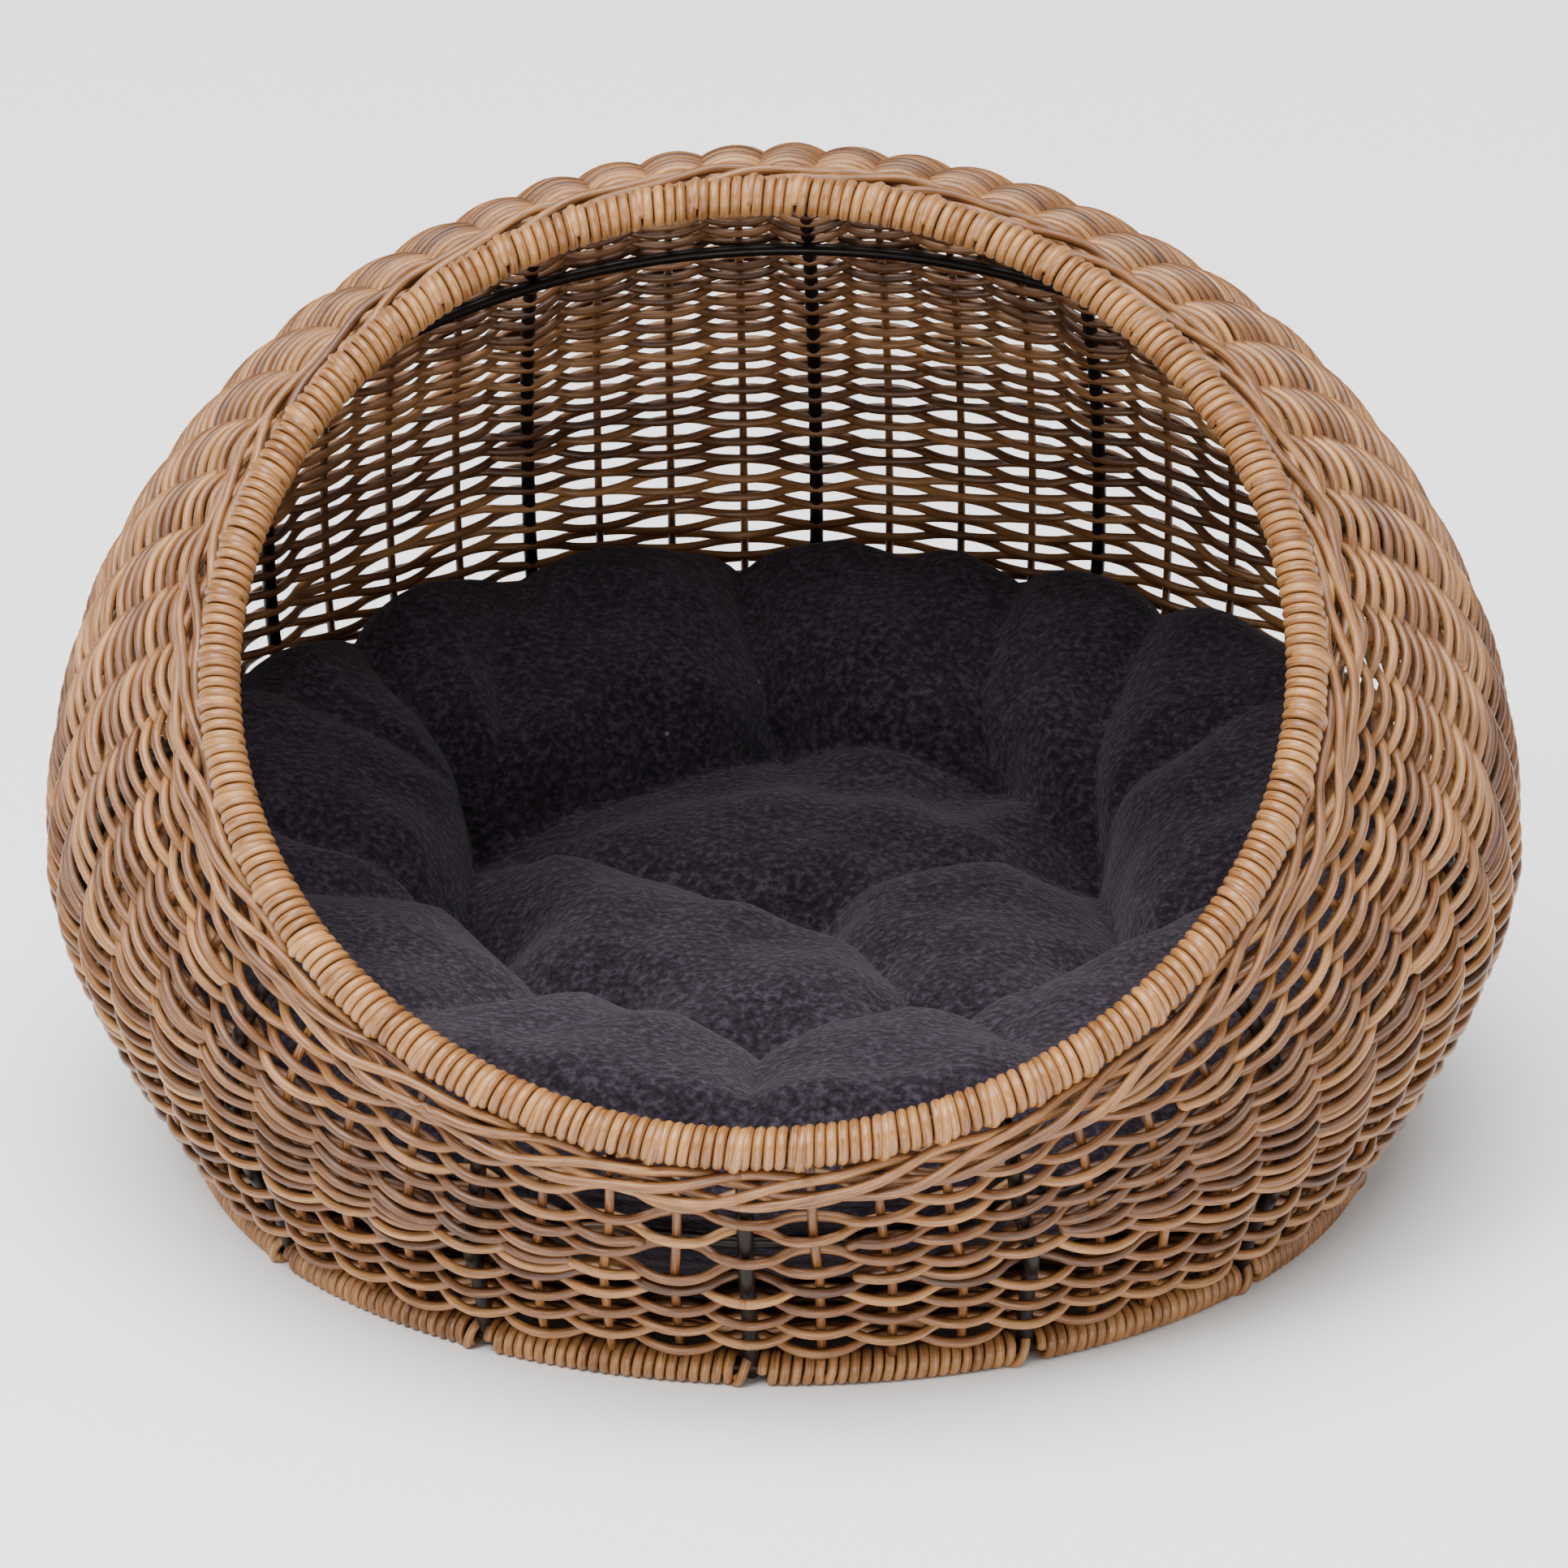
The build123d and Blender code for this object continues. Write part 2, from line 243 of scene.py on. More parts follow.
class Finish:
    # one material: node() makes its nodes and surface() sets its shader
    def __init__(self, name):
        self.material = bpy.data.materials.new(name)
        self.material.use_nodes = True
        self.tree = self.material.node_tree
        self.shader = self.tree.nodes["Principled BSDF"]

    def feed(self, target, value):
        if isinstance(value, Sock):
            self.tree.links.new(value.socket, target)
        else:
            target.default_value = value

    def node(self, kind, settings=None, values=None):
        made = self.tree.nodes.new(kind)
        for key, value in (settings or {}).items():
            if key == "stops":
                self.setStops(made.color_ramp, value)
            else:
                setattr(made, key, value)
        for key, value in (values or {}).items():
            self.feed(made.inputs[key], value)
        return [Sock(self, output) for output in made.outputs if output.enabled]

    def setStops(self, ramp, stops):
        while len(ramp.elements) < len(stops):
            ramp.elements.new(0.5)
        for element, (position, colour) in zip(ramp.elements, stops):
            element.position = position
            element.color = (*colour, 1)

    def maths(self, operation, *values):
        return self.node("ShaderNodeMath", {"operation": operation}, dict(enumerate(values)))[0]

    def value(self, name):
        # a value that the mesh carries at each point
        return self.node("ShaderNodeAttribute", {"attribute_name": name})[2]

    def place(self):
        # where a point is on the object
        return self.node("ShaderNodeTexCoord")[3]

    def noise(self, vector, scale, detail=2.0, rough=0.5):
        values = {"Vector": vector, "Scale": scale, "Detail": detail, "Roughness": rough}
        return self.node("ShaderNodeTexNoise", {}, values)[0]

    def vector(self, x, y, z):
        return self.node("ShaderNodeCombineXYZ", {}, {0: x, 1: y, 2: z})[0]

    def ramp(self, share, stops):
        return self.node("ShaderNodeValToRGB", {"stops": stops}, {0: share})[0]

    def mix(self, share, first, second):
        # between two colours
        values = {0: share, 6: first, 7: second}
        return self.node("ShaderNodeMix", {"data_type": "RGBA"}, values)[0]

    def bump(self, height, strength, distance):
        values = {"Height": height, "Strength": strength, "Distance": distance}
        return self.node("ShaderNodeBump", {}, values)[0]

    def surface(self, **values):
        for key, value in values.items():
            self.feed(self.shader.inputs[key.replace("_", " ")], value)
        return self.material


wickerLook = {
    "grainPitch": 60.0,            # streaks in a metre along the strand
    "grainAcross": 1.4,
    "finePitch": 28.0,
    "fineAcross": 5.0,
    "patchPitch": 9.0,
    "grain": 1.0,                  # how much each of these darkens or lightens
    "fine": 1.15,
    "patch": 0.8,
    "tone": 0.42,
    "bump": 0.0003,
    "stops": [(0.12, (0.030, 0.009, 0.002)), (0.52, (0.165, 0.062, 0.017)), (0.92, (0.400, 0.195, 0.065))],
}


def wickerFinish(name, lift=0.0, rough=0.38):
    look = wickerLook
    kit = Finish(name)
    along = kit.value("along")
    around = kit.value("around")
    tone = kit.value("tone")
    across = kit.maths("COSINE", around)
    over = kit.maths("SINE", around)
    # the tone moves each strand to its own stretch of the streaks
    grainAt = kit.vector(
        along * look["grainPitch"], across * look["grainAcross"] + tone * 37, over * look["grainAcross"]
    )
    fineAt = kit.vector(
        along * look["finePitch"], across * look["fineAcross"] + tone * 91, over * look["fineAcross"]
    )
    patchAt = kit.vector(along * look["patchPitch"], tone * 53, 0.0)
    grain = kit.noise(grainAt, 1.7, 4.0, 0.65)
    fine = kit.noise(fineAt, 1.9, 3.0, 0.6)
    patch = kit.noise(patchAt, 1.0, 2.0)
    shade = (grain - 0.5) * look["grain"] + (fine - 0.5) * look["fine"] + (patch - 0.5) * look["patch"]
    # lift lightens or darkens the whole strand's colour; on the wound strand it is painted light
    shade = shade + (tone - 0.5) * look["tone"] + (0.53 + lift)
    return kit.surface(
        Base_Color=kit.ramp(shade, look["stops"]),
        Roughness=(1 - fine) * 0.3 + (rough - 0.17),
        Specular_IOR_Level=0.5,
        Normal=kit.bump(fine * 0.7 + grain * 0.5, 0.5, look["bump"]),
    )


paintLook = {
    "orangePeel": 900.0, "dust": 60.0, "bump": 0.0003,
    "clean": (0.0045, 0.0028, 0.0020, 1), "dusty": (0.0120, 0.0075, 0.0055, 1),
}


def paintFinish():
    look = paintLook
    kit = Finish("frame_gloss_paint")
    orangePeel = kit.noise(kit.place(), look["orangePeel"], 2.0)
    dust = kit.noise(kit.place(), look["dust"], 4.0, 0.7)
    return kit.surface(
        Base_Color=kit.mix(dust, look["clean"], look["dusty"]),
        Specular_IOR_Level=0.16,
        Roughness=dust * 0.2 + 0.25,
        Normal=kit.bump(orangePeel, 0.25, look["bump"]),
    )


fleeceLook = {
    "curl": 340.0, "smallCurl": 780.0, "clump": 95.0, "broad": 9.0, "bump": 0.0018,
    "stops": [
        (0.0, (0.0030, 0.0017, 0.0034)),
        (0.5, (0.0108, 0.0074, 0.0118)),
        (1.0, (0.0290, 0.0220, 0.0310)),
    ],
    "lintPitch": 22.0, "lintSize": 0.022, "lint": (0.25, 0.24, 0.23, 1),
}


def fleeceFinish():
    look = fleeceLook
    kit = Finish("cushion_charcoal_fleece")
    place = kit.place()
    curl = kit.noise(place, look["curl"], 1.5, 0.5)
    smallCurl = kit.noise(place, look["smallCurl"], 2.0, 0.6)
    clump = kit.noise(place, look["clump"], 3.0, 0.6)
    broad = kit.noise(place, look["broad"], 2.0)
    nap = curl * 0.7 + smallCurl * 0.3
    shade = (nap - 0.5) * 3.4 + (clump - 0.5) * 0.5 + (broad - 0.5) * 0.3 + 0.45
    toLint = kit.node("ShaderNodeTexVoronoi", {}, {"Vector": place, "Scale": look["lintPitch"]})[0]
    lint = 1 - kit.maths("GREATER_THAN", toLint, look["lintSize"])
    return kit.surface(
        Base_Color=kit.mix(lint * 0.4, kit.ramp(shade, look["stops"]), look["lint"]),
        Roughness=0.95,
        Sheen_Weight=0.12,
        Sheen_Roughness=0.6,
        Sheen_Tint=(0.55, 0.50, 0.58, 1),
        Specular_IOR_Level=0.1,
        Normal=kit.bump(nap, 0.9, look["bump"]),
    )


weaveFinish = wickerFinish("woven_strand")
# the wound strand is the woven strand made lighter all over (lift 0.15): painted light for the wound rings,
# which catch the light; its lower roughness is real gloss
paintedLightWrapFinish = wickerFinish("wound_strand_painted_light", lift=0.15, rough=0.34)
stakeFinish = wickerFinish("stake_strand", lift=-0.06)
paint = paintFinish()
fleece = fleeceFinish()
print("finishes made")


def settle(piece, material, slot, *nodes):
    # a basket piece, in place of the plain nodes that it stands for
    piece.data.materials.append(material)
    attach(piece, "basket")
    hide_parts(*nodes)


weave = {
    "strand": 0.00192,             # radius
    "pointsPerStake": 10,
    "inset": 0.0060,               # outside of the weave to the stakes' centre lines
    "over": 0.0035,                # how far a strand passes from a stake's centre line
    "ribOver": 0.0040,             # and from a rib's, outside and inside
    "ribUnder": 0.0058,
    "levelRows": 7,
    "levelFoot": 0.0130,           # base ring up to the first row
    "hoodEnd": 0.1905,             # centre to the plane of the last row
    "levelPitch": 0.0048,          # between the rows, at the sides and back
    "hoodPitch": 0.0044,
    "lowPitch": 0.0066,            # of the hood's rows low at the front
    "lowExtra": 0.0012,            # added to the short rows' pitch there
    "lowReach": 7.0,               # stakes each side of the front that count as low
    "wholeHoodPairs": 3,           # pairs of hood rows that go all round
    "turnRoom": 0.45,              # part of a stake place that a turned row runs on for
    "turnStart": 0.9,              # stakes before its turn that a pair starts to open out
    "turnRamp": 2.2,               # and the stakes over which it does
    "jitter": 0.0005,              # a level row's wander, up and down
    "sway": 0.08,                  # and another row's, in rows
}


def stakeGrid():
    # every stake place and the places between, from below the base ring to above the opening
    columns = stakes * weave["pointsPerStake"]
    turns = np.arange(columns) * 2 * pi / columns
    reaches = np.linspace(-0.122, 0.212, 260)
    turnGrid, reachGrid = np.meshgrid(turns, reaches, indexing="ij")
    return turns, onWall(turnGrid, reachGrid, weave["inset"])


gridTurns, grid = stakeGrid()
stakeAt = gridTurns * stakes / (2 * pi)        # turns counted in stakes
fromFront = np.minimum(stakeAt, stakes - stakeAt)
oneSide = (stakeAt >= 0.5) & (stakeAt <= stakes / 2)

# Three fields over the grid. Rows follow places where a field has one value.
hingeOut = float(onWall(np.array([0.0]), np.array([levelReach]), weave["inset"])[0, 1])
levelField = grid[..., 2]
fanField = np.arctan2(grid[..., 2] - levelReach, np.maximum(grid[..., 1] - hingeOut, 1e-4))
hoodField = grid @ openingNormal
hingeReach = -sin(body["slope"]) * hingeOut + cos(body["slope"]) * levelReach


def crossing(field, target):
    # on each grid column, where the field first reaches the target
    target = np.broadcast_to(target, (len(grid),))
    above = field >= target[:, None]
    index = np.clip(np.argmax(above, axis=1), 1, grid.shape[1] - 1)
    rows = np.arange(len(grid))
    low = field[rows, index - 1]
    high = field[rows, index]
    share = np.clip((target - low) / np.maximum(high - low, 1e-9), 0, 1)[:, None]
    return grid[rows, index - 1] * (1 - share) + grid[rows, index] * share


def slowWander(amount, seed):
    # a wander that comes back to itself after one turn round the basket
    local = np.random.default_rng(seed)
    total = np.zeros_like(stakeAt)
    for cycles in (3, 5, 8, 13, 21):
        total += local.normal() * np.sin(2 * pi * cycles * stakeAt / stakes + local.uniform(0, 2 * pi))
    return total * amount / 2


def rowLine(points, sign):
    # in front of one stake and behind the next
    wave = np.cos(pi * stakeAt) * sign
    wave = np.sign(wave) * np.abs(wave) ** 0.8
    toRib = np.abs((stakeAt / body["perBay"] + 0.5) % 1 - 0.5) * body["perBay"]
    atRib = np.clip(1 - toRib, 0, 1)
    over = weave["over"] + (weave["ribOver"] - weave["over"]) * atRib
    under = weave["over"] + (weave["ribUnder"] - weave["over"]) * atRib
    offset = np.where(wave > 0, wave * over, wave * under)
    outward = wallNormal(points)
    return points + outward * offset[:, None], outward


def levelPiece():
    piece = Strands()
    foot = weave["levelFoot"] - body["drop"]
    for row in range(weave["levelRows"]):
        height = foot + (levelReach - foot) * row / (weave["levelRows"] - 0.5)
        points = crossing(levelField, height + slowWander(weave["jitter"], row))
        line, outward = rowLine(points, 1 if row % 2 else -1)
        piece.add(line, outward, weave["strand"], closed=True, tone=rng.uniform())
    return piece.build("level_rows")


def stretch(field, low, high):
    # length of each stake between two values of the field
    marks = [crossing(field, low + (high - low) * share) for share in (0, 0.25, 0.5, 0.75, 1)]
    return sum(np.linalg.norm(after - before, axis=1) for before, after in zip(marks, marks[1:]))


def turnBack(first, second, ahead, outward):
    # the loop that joins two neighbouring rows around a stake
    middle = (first + second) / 2
    arm = (first - second) / 2
    size = max(np.linalg.norm(arm), 0.0021)
    ahead = unit(ahead - unit(arm) * np.dot(ahead, unit(arm)))
    swing = np.linspace(0, pi, 9)[1:-1, None]
    loop = middle + np.cos(swing) * arm + np.sin(swing) * ahead * size
    return loop, np.repeat(outward[None], len(loop), 0)


def pairEnds(wanted, pairs, wholePairs, seed):
    # which pairs of rows go all round, and how many stakes from the front the others turn back
    # the shortest pairs are spread out among the long ones
    order = sorted(range(pairs), key=lambda pair: int(format(pair, "06b")[::-1], 2), reverse=True)
    ends = np.zeros(pairs)
    for dropped, pair in enumerate(order[:pairs - wholePairs]):
        enough = stakeAt[oneSide][wanted[oneSide] >= 2 * (pairs - dropped) - 1]
        ends[pair] = enough.min() if len(enough) else stakes / 2 - 4
    whole = np.isin(np.arange(pairs), order[pairs - wholePairs:])
    ends = np.where(whole, 0, np.clip(np.round(ends), 2, stakes / 2 - 5))
    local = np.random.default_rng(seed)
    uneven = (~whole) * (ends > 3)
    left = ends + local.integers(-1, 2, pairs) * uneven
    right = ends + local.integers(-1, 2, pairs) * uneven
    return whole, left, right


def bandRows(names, field, low, high, pitch, wholePairs, seed):
    # pairs of rows between two values of the field, as even in height as their number allows
    wanted = stretch(field, low, high) / pitch
    pairs = int(round(wanted[oneSide].max() / 2))
    whole, left, right = pairEnds(wanted, pairs, wholePairs, seed)
    toLeft = np.clip((stakeAt - left[:, None] + weave["turnStart"]) / weave["turnRamp"], 0, 1)
    toRight = np.clip((stakes - stakeAt - right[:, None] + weave["turnStart"]) / weave["turnRamp"], 0, 1)
    opened = toLeft * toRight
    weights = np.where(whole[:, None], 1.0, opened * opened * (3 - 2 * opened))
    total = np.maximum(weights.sum(0), 1e-3)
    below = np.cumsum(weights, 0) - weights
    pieces = [Strands() for _ in names]
    for pair in range(pairs):
        piece = pieces[pair * len(names) // pairs]
        inLeft = stakeAt >= left[pair] - weave["turnRoom"]
        inRight = stakeAt <= stakes - right[pair] + weave["turnRoom"]
        inside = whole[pair] | inLeft & inRight
        rows = []
        for row in (0, 1):
            share = (below[pair] + weights[pair] * (0.25 + 0.5 * row)) / total
            share = share + slowWander(weave["sway"], seed + 2 * pair + row) / total
            points = crossing(field, low + (high - low) * np.clip(share, 0.002, 0.998))
            line, outward = rowLine(points, 1 if row else -1)
            rows.append((line[inside], outward[inside]))
        (first, firstOut), (second, secondOut) = rows
        if whole[pair]:
            piece.add(first, firstOut, weave["strand"], closed=True, tone=rng.uniform())
            piece.add(second, secondOut, weave["strand"], closed=True, tone=rng.uniform())
            continue
        far, farOut = turnBack(first[-1], second[-1], first[-1] - first[-3], firstOut[-1])
        near, nearOut = turnBack(second[0], first[0], first[0] - first[2], firstOut[0])
        line = np.vstack([first, far, second[::-1], near])
        outward = np.vstack([firstOut, farOut, secondOut[::-1], nearOut])
        piece.add(line, outward, weave["strand"], closed=True, tone=rng.uniform())
    print(names[0], pairs, "pairs of rows")
    return [piece.build(name) for piece, name in zip(pieces, names)]


stakeLook = {"radius": 0.0018, "topReach": 0.197, "foot": 0.004, "everyPlace": 6, "tone": (0.2, 0.7)}


def stakePieces():
    look = stakeLook
    made = []
    for bay in range(body["ribs"]):
        piece = Strands()
        for step in range(1, body["perBay"]):
            column = (bay * body["perBay"] + step) * weave["pointsPerStake"]
            kept = (hoodField[column] < look["topReach"]) & (levelField[column] > look["foot"] - body["drop"])
            kept &= np.arange(grid.shape[1]) % look["everyPlace"] == 0
            line = grid[column][kept]
            piece.add(line, wallNormal(line), look["radius"], tone=rng.uniform(*look["tone"]))
        made.append(piece.build(f"stakes_{bay + 1:02d}"))
    return made


lowShare = np.exp(-(fromFront / weave["lowReach"]) ** 2)
fanPitch = weave["levelPitch"] + weave["lowExtra"] * lowShare
hoodPitch = weave["hoodPitch"] + (weave["lowPitch"] - weave["hoodPitch"]) * lowShare
fanNames = [f"fan_rows_{part}" for part in (1, 2, 3, 4)]

levelMade = levelPiece()
fanMade = bandRows(fanNames, fanField, 0.004, body["slope"], fanPitch, 0, 500)
hoodMade = bandRows(
    ["hood_rows"], hoodField, hingeReach, weave["hoodEnd"], hoodPitch, weave["wholeHoodPairs"], 800
)
stakesMade = stakePieces()
settle(levelMade, weaveFinish, "woven_wicker", "lower_weave")
for piece in fanMade:
    settle(piece, weaveFinish, "woven_wicker", "back_weave")
for piece in hoodMade:
    settle(piece, weaveFinish, "woven_wicker", "hood_weave")
for bay, piece in enumerate(stakesMade):
    settle(piece, stakeFinish, "stake_wicker", f"stakes_bay_{bay + 1:02d}")
print("weave made")

rimWrap = {
    "strand": 0.00200,             # radius
    "flat": 0.96,
    "core": 0.0060,                # ring's centre line out to the strand's
    "pitch": 0.00405,
    "steps": 20,                   # points in a turn
    "coils": (4, 8),               # close turns in a group
    "gap": (0.0004, 0.0016),       # between groups
    "slant": 0.0050,               # length of the slanting turn over a gap
}
baseWrap = {
    "strand": 0.00195, "flat": 0.96, "core": 0.0052, "pitch": 0.0041, "steps": 18,
    "ribGap": 0.008, "slant": 0.0075,
}


class Ring:
    # a closed line that a strand is wound around
    def __init__(self, curve, normal):
        self.curve = curve
        self.normal = normal
        self.turns = np.linspace(0, 2 * pi, 2049)
        steps = np.linalg.norm(np.diff(curve(self.turns), axis=0), axis=1)
        self.reached = np.concatenate([[0], np.cumsum(steps)])
        self.length = self.reached[-1]

    def around(self, position, phase, radius):
        # places on a tube around the line, and the way out from its middle
        turn = np.interp(position % self.length, self.reached, self.turns)
        ahead = unit(self.curve(turn + 1e-3) - self.curve(turn - 1e-3))
        side = unit(np.cross(ahead, self.normal))
        up = np.cross(side, ahead)
        outward = side * np.cos(phase)[:, None] + up * np.sin(phase)[:, None]
        return self.curve(turn) + outward * np.broadcast_to(radius, phase.shape)[:, None], outward


def groupedCoils(ring, look, local):
    # close turns in groups of a few, all the way round
    places = []
    groups = []
    at = 0.0
    while at < ring.length - 3 * look["pitch"]:
        count = local.integers(*look["coils"])
        gap = local.uniform(*look["gap"])
        groups.append(at)
        places += [at + gap + turn * look["pitch"] for turn in range(count)]
        at += gap + count * look["pitch"]
    return np.array(places) * ring.length / at, np.array(groups) * ring.length / at


def ribCoils(ring, look):
    # close turns from each rib to the next, with a gap at the rib
    between = ring.length / body["ribs"]
    count = int((between - look["ribGap"]) / look["pitch"])
    pitch = (between - look["ribGap"]) / count
    groups = np.arange(body["ribs"]) * ring.length / body["ribs"]
    firsts = groups + look["ribGap"] / 2
    places = firsts[:, None] + (np.arange(count) + 0.5) * pitch
    return places.reshape(-1), groups


def woundRing(name, curve, normal, look, seed):
    # a strand wound round a ring, with a slanting turn at the start of each group
    local = np.random.default_rng(seed)
    ring = Ring(curve, normal)
    piece = Strands()
    atRibs = "ribGap" in look
    places, groups = ribCoils(ring, look) if atRibs else groupedCoils(ring, look, local)
    places += local.normal(size=len(places)) * 0.00012
    count = len(places)
    windings = np.arange(count * look["steps"]) / look["steps"]
    if atRibs:
        positions = places[windings.astype(int)] + (windings % 1 - 0.5) * look["pitch"]
    else:
        positions = np.interp(windings, np.arange(count + 1), np.append(places, places[0] + ring.length))
    line, outward = ring.around(positions, 2 * pi * windings, look["core"])
    tones = local.uniform(0.35, 0.75, count)
    if atRibs:
        perBay = count // body["ribs"]
        for first in range(0, count, perBay):
            rows = slice(first * look["steps"], (first + perBay) * look["steps"])
            piece.add(line[rows], outward[rows], look["strand"], tone=tones[first], flat=look["flat"])
    else:
        piece.add(line, outward, look["strand"], closed=True, tone=0.55, flat=look["flat"])
    share = np.linspace(0, 1, 16)
    lift = look["core"] + 0.0013 * np.cos(pi / 2 * share)
    for place in groups:
        slant = look["slant"] * local.uniform(0.8, 1.2)
        along = place + (share ** 0.7 - 1) * slant + 0.0012
        stitch, out = ring.around(along, (1.15 * share - 0.35) * pi, lift)
        piece.add(stitch, out, look["strand"] * 0.95, tone=local.uniform(0.3, 0.9), flat=look["flat"])
    for points in piece.points:
        # nothing reaches below the ground that the basket stands on
        points[:, 2] = np.maximum(points[:, 2], 1e-4 - bodyCentre[2])
    return piece.build(name)


def rimCurve(turn):
    return openingCurve(turn, body["openingReach"], 0)


def baseCurve(turn):
    radius = (highCorner[0] - lowCorner[0]) / 2 - 0.003        # less the rod's own
    return np.stack([radius * np.sin(turn), -radius * np.cos(turn), -body["drop"] + 0 * turn], -1)


rimMade = woundRing("opening_wrap", rimCurve, openingNormal, rimWrap, 21)
baseMade = woundRing("base_ring_wrap", baseCurve, np.array([0, 0, 1.0]), baseWrap, 22)
settle(rimMade, paintedLightWrapFinish, "wrap_wicker", "rim_wrap")
settle(baseMade, paintedLightWrapFinish, "wrap_wicker", "base_wrap")
print("rings wound")

border = {
    "strand": 0.0020,              # radius
    "strands": 4,
    "crossings": 9,                # times that a strand goes out and in, round the opening
    "near": 0.0098,                # opening ring down to the band of strands
    "apart": 0.0034,               # a third of the band's width
    "sway": 0.0019,                # out and in where they cross
    "lift": 0.0016,                # off the weave
    "ripple": 0.0007,              # over the stakes
}


def borderPiece():
    # long strands that follow the outside of the opening and cross one another
    piece = Strands()
    turns = np.linspace(0, 2 * pi, stakes * 9, endpoint=False)
    for strand in range(border["strands"]):
        phase = 2 * pi * strand / border["strands"]
        cycle = border["crossings"] * turns + phase
        halfBand = border["apart"] * 1.5
        down = border["near"] + halfBand + (halfBand + 0.0006) * np.cos(cycle)
        proud = border["lift"] + border["sway"] * np.sin(cycle)
        proud = proud + border["ripple"] * np.cos(stakes / 2 * turns + phase)
        points = []
        for turn, fall, out in zip(turns, down, proud):
            points.append(openingCurve(turn, body["openingReach"] - fall / sqrt(2), -out))
        line = np.array(points)
        piece.add(line, wallNormal(line, 0.0), border["strand"], closed=True, tone=rng.uniform())
    return piece.build("border_strands")


floorMat = {"strand": 0.0019, "rod": 0.0015, "pitch": 0.0052, "rodPitch": 0.026, "wave": 0.0015}


def floorPiece():
    # a flat mat: rods from front to back, and strands woven across them
    look = floorMat
    low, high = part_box("floor_weave")
    radius = (high[0] - low[0]) / 2
    middle = np.array([0, (low[1] + high[1]) / 2, (low[2] + high[2]) / 2])
    piece = Strands()
    up = np.array([0, 0, 1.0])
    rows = int(2 * radius / look["pitch"]) - 1
    for row in range(rows):
        y = (row - (rows - 1) / 2) * look["pitch"]
        half = sqrt(max(radius ** 2 - y ** 2, 0)) - 0.003
        if half < 0.02:
            continue
        x = np.arange(-half, half, look["rodPitch"] / 6)
        wave = np.cos(pi * x / look["rodPitch"]) * (1 if row % 2 else -1)
        line = np.stack([x, np.full_like(x, y), look["wave"] * wave], -1)
        piece.add(line, np.tile(up, (len(x), 1)), look["strand"], sides=6, tone=rng.uniform())
    rods = int(radius / look["rodPitch"])
    for rod in range(-rods, rods + 1):
        x = rod * look["rodPitch"]
        half = sqrt(max(radius ** 2 - x ** 2, 0)) - 0.002
        line = np.array([[x, y, 0.0] for y in np.linspace(-half, half, 12)])
        piece.add(line, np.tile(up, (12, 1)), look["rod"], sides=6, tone=0.4)
    return piece.build("floor_mat", middle)


borderMade = borderPiece()
floorMade = floorPiece()
settle(borderMade, weaveFinish, "woven_wicker", "border_braid")
settle(floorMade, weaveFinish, "woven_wicker", "floor_weave")
print("border and floor made")

for name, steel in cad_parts.items():
    if name.startswith(("frame_rib", "base_ring", "opening_ring", "middle_hoop", "floor_bar")):
        steel.data.materials.clear()
        steel.data.materials.append(paint)
print("frame painted")

cushionLook = {
    "around": 380, "profile": 220,         # points round it and from its underside's middle to its top's
    "foot": 0.0193, "footRadius": 0.200,
    "outer": 0.266,
    "seat": 0.094,
    "backCrest": 0.158, "frontCrest": 0.122, "crestRadius": 0.222,
    "puff": 0.027, "creaseWidth": 0.028, "pinchWidth": 0.007,
    "tuftDip": 0.020, "tuftWidth": 0.020,
    "wrinkle": 0.0007,
}
# pinched places on the seat, from the body's middle
tufts = {
    "middle": (0.008, 0.010),
    "left": (-0.115, -0.018), "leftBack": (-0.112, 0.068),
    "back": (-0.006, 0.142), "backRight": (0.068, 0.120),
    "rightBack": (0.108, 0.063), "right": (0.125, -0.055),
    "frontRight": (0.060, -0.112), "front": (-0.004, -0.136), "frontLeft": (-0.066, -0.094),
}
# a fold runs from one pinched place to another, or up the wall at a turn in degrees; then how shallow it is
folds = [
    ("middle", "leftBack", 0.010), ("middle", "frontRight", 0.008), ("middle", "rightBack", 0.016),
    ("leftBack", "back", 0.004), ("back", "backRight", 0.004), ("backRight", "rightBack", 0.002),
    ("rightBack", "right", 0.0), ("right", "frontRight", 0.007), ("frontRight", "front", 0.010),
    ("front", "frontLeft", 0.006), ("frontLeft", "left", 0.002), ("left", "leftBack", 0.0),
    ("back", -174, 0.0), ("leftBack", -133, 0.002), ("leftBack", -156, 0.008), ("left", -92, 0.010),
    ("backRight", 157, 0.004), ("rightBack", 143, 0.004), ("right", 84, 0.006), ("front", -3, 0.006),
    ("frontLeft", -42, 0.012), ("frontRight", 24, 0.012), ("backRight", 172, 0.014), ("rightBack", 112, 0.012),
    ("left", -68, 0.014), ("leftBack", -112, 0.014),
]
# small wrinkles: waves in a metre across and along, and where each starts
wrinkles = [(61, 23, 0.4), (-35, 72, 1.9), (90, -51, 2.2), (22, 118, 4.0), (-130, 64, 0.7)]


def smoothCurve(knots, values, at):
    # a smooth line through the knots that doesn't overshoot
    values = np.asarray(values, float)
    widths = np.diff(knots)
    slopes = np.diff(values) / widths
    ends = np.zeros(len(values))
    for i in range(1, len(values) - 1):
        if slopes[i - 1] * slopes[i] > 0:
            ends[i] = 2 / (1 / slopes[i - 1] + 1 / slopes[i])
    ends[0] = slopes[0]
    index = np.clip(np.searchsorted(knots, at, side="right") - 1, 0, len(widths) - 1)
    h = widths[index]
    t = (at - knots[index]) / h
    rise = 3 * t ** 2 - 2 * t ** 3
    leave = (t ** 3 - 2 * t ** 2 + t) * h * ends[index]
    arrive = (t ** 3 - t ** 2) * h * ends[index + 1]
    return (1 - rise) * values[index] + leave + rise * values[index + 1] + arrive


